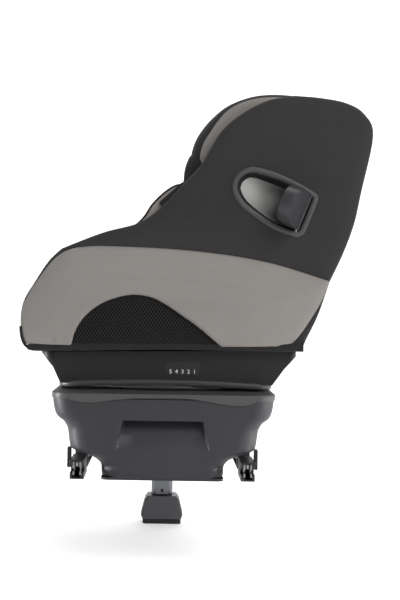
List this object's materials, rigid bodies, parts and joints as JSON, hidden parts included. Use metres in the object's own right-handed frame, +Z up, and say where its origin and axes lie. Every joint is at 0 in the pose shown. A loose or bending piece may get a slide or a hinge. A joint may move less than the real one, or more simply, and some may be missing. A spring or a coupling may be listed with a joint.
{
  "type": "convertible car seat",
  "caption": "Rotating convertible child car seat: padded reclining bucket seat on a turntable base with rigid anchor connectors, fold-out side pods and a telescopic support leg.",
  "frame": {"origin": "swivel axis of the turntable, on the underside of the base", "axes": "+Z up along the swivel axis, -Y towards the rear of the base with the anchor connectors, child facing -X as stored"},
  "size_m": [0.6005, 0.5322, 0.8142],
  "materials": {
    "base_plastic": "fine spark-eroded grain",
    "flange_plastic": "fine grain",
    "rim_plastic": "satin",
    "bowl_plastic": "fine grain",
    "black_plastic": "satin",
    "grey_plastic": "satin",
    "bezel_plastic": "satin",
    "pod_plastic": "semi-gloss",
    "red_plastic": "gloss",
    "steel": "zinc plated",
    "leg_metal": "anodised grey",
    "rubber": "matt",
    "charcoal_fabric": "fine knit",
    "grey_fabric": "fine knit, warm grey",
    "mesh_fabric": "open spacer mesh",
    "binding_fabric": "woven tape",
    "webbing": "woven polyester"
  },
  "bodies": {
    "base": {"base_tub": "base_plastic", "base_flange": "flange_plastic", "underside_plate": "base_plastic", "plate_screws": "steel", "bearing_ring": "steel", "guide_rails": "steel", "leg_bracket": "steel", "leg_pin": "steel"},
    "swivel_button": {"swivel_button": "grey_plastic"},
    "anchors": {"anchor_arms": "steel", "crossbar": "steel", "connectors": "black_plastic", "jaw_plates": "steel", "hook_pins": "steel"},
    "hook_left": {"jaw_hook_left": "steel"},
    "hook_right": {"jaw_hook_right": "steel"},
    "lever_left": {"release_lever_left": "black_plastic"},
    "lever_right": {"release_lever_right": "black_plastic"},
    "leg_upper": {"leg_outer_tube": "leg_metal", "leg_button_housing": "black_plastic"},
    "leg_button": {"leg_button": "grey_plastic"},
    "leg_lower": {"leg_inner_tube": "leg_metal", "foot": "base_plastic", "foot_sole": "rubber"},
    "turntable": {"turntable": "black_plastic", "retainer_ring": "black_plastic", "turntable_rim": "rim_plastic", "cradle_bowl": "bowl_plastic", "scale_plates": "black_plastic"},
    "seat": {"seat_shell": "black_plastic", "wing_cover_left": "charcoal_fabric", "wing_cover_right": "charcoal_fabric", "side_panel_left": "grey_fabric", "side_panel_right": "grey_fabric", "mesh_panels": "mesh_fabric", "hem_binding": "binding_fabric", "back_cover": "charcoal_fabric", "front_panel": "grey_fabric", "pod_bezels": "bezel_plastic", "pod_cups": "grey_plastic", "pod_pins": "steel", "seat_cushion": "charcoal_fabric", "back_cushion": "charcoal_fabric", "side_bolsters": "grey_fabric", "harness_keepers": "black_plastic", "harness_straps": "webbing", "shoulder_pads": "charcoal_fabric", "crotch_strap": "webbing", "buckle": "black_plastic", "buckle_tongues": "steel", "adjuster": "black_plastic"},
    "pod_left": {"pod_left": "pod_plastic"},
    "pod_right": {"pod_right": "pod_plastic"},
    "headrest": {"headrest_frame": "black_plastic", "headrest_pad": "charcoal_fabric", "headrest_wings": "charcoal_fabric"},
    "headrest_handle": {"headrest_handle": "grey_plastic"},
    "buckle_button": {"buckle_button": "red_plastic"},
    "adjuster_button": {"adjuster_button": "grey_plastic"},
    "recline_handle": {"recline_handle": "black_plastic"}
  },
  "joints": [
    {"name": "swivel", "type": "hinge", "parent": "base", "child": "turntable", "pos_m": [0, 0, 0], "axis": [0, 0, 1], "continuous": true},
    {"name": "recline", "type": "hinge", "parent": "turntable", "child": "seat", "pos_m": [0, 0, 0.425], "axis": [0, 1, 0], "range_deg": [0, 14]},
    {"name": "headrest_height", "type": "slide", "parent": "seat", "child": "headrest", "axis": [0.2079, 0, 0.9781], "range_m": [0, 0.11]},
    {"name": "headrest_trigger", "type": "slide", "parent": "headrest", "child": "headrest_handle", "axis": [0.2079, 0, 0.9781], "range_m": [0, 0.008], "stiffness_N_per_m": 800},
    {"name": "pod_left_turn", "type": "hinge", "parent": "seat", "child": "pod_left", "pos_m": [0.23106, -0.2163, 0.44773], "axis": [0.3584, 0, 0.9336], "range_deg": [-70, 0]},
    {"name": "pod_right_turn", "type": "hinge", "parent": "seat", "child": "pod_right", "pos_m": [0.23106, 0.2163, 0.44773], "axis": [-0.3584, 0, -0.9336], "range_deg": [0, 70]},
    {"name": "buckle_press", "type": "slide", "parent": "seat", "child": "buckle_button", "axis": [0.9945, 0, -0.1045], "range_m": [0, 0.004], "stiffness_N_per_m": 800},
    {"name": "adjuster_press", "type": "slide", "parent": "seat", "child": "adjuster_button", "axis": [1, 0, 0], "range_m": [0, 0.002], "stiffness_N_per_m": 800},
    {"name": "recline_pull", "type": "slide", "parent": "seat", "child": "recline_handle", "axis": [-1, 0, 0], "range_m": [0, 0.008], "stiffness_N_per_m": 800},
    {"name": "swivel_press", "type": "slide", "parent": "base", "child": "swivel_button", "axis": [0, 0, -1], "range_m": [0, 0.003], "stiffness_N_per_m": 800},
    {"name": "anchor_reach", "type": "slide", "parent": "base", "child": "anchors", "axis": [0, -1, 0], "range_m": [0, 0.12]},
    {"name": "release_left", "type": "slide", "parent": "anchors", "child": "lever_left", "axis": [0, 1, 0], "range_m": [0, 0.006]},
    {"name": "hook_left", "type": "hinge", "parent": "anchors", "child": "hook_left", "pos_m": [-0.14, -0.244, 0.0255], "axis": [1, 0, 0], "range_deg": [0, 9]},
    {"name": "release_right", "type": "slide", "parent": "anchors", "child": "lever_right", "axis": [0, 1, 0], "range_m": [0, 0.006]},
    {"name": "hook_right", "type": "hinge", "parent": "anchors", "child": "hook_right", "pos_m": [0.14, -0.244, 0.0255], "axis": [1, 0, 0], "range_deg": [0, 9]},
    {"name": "leg_fold", "type": "hinge", "parent": "base", "child": "leg_upper", "pos_m": [0, 0.206, 0.04], "axis": [-1, 0, 0], "range_deg": [0, 90]},
    {"name": "leg_extend", "type": "slide", "parent": "leg_upper", "child": "leg_lower", "axis": [0, 0, -1], "range_m": [0, 0.075]},
    {"name": "leg_press", "type": "slide", "parent": "leg_upper", "child": "leg_button", "axis": [0, -1, 0], "range_m": [0, 0.003], "stiffness_N_per_m": 800}
  ],
  "couplings": [
    {"joint": "hook_left", "follows": "release_left", "rad_per_m": 26.18},
    {"joint": "hook_right", "follows": "release_right", "rad_per_m": 26.18}
  ]
}
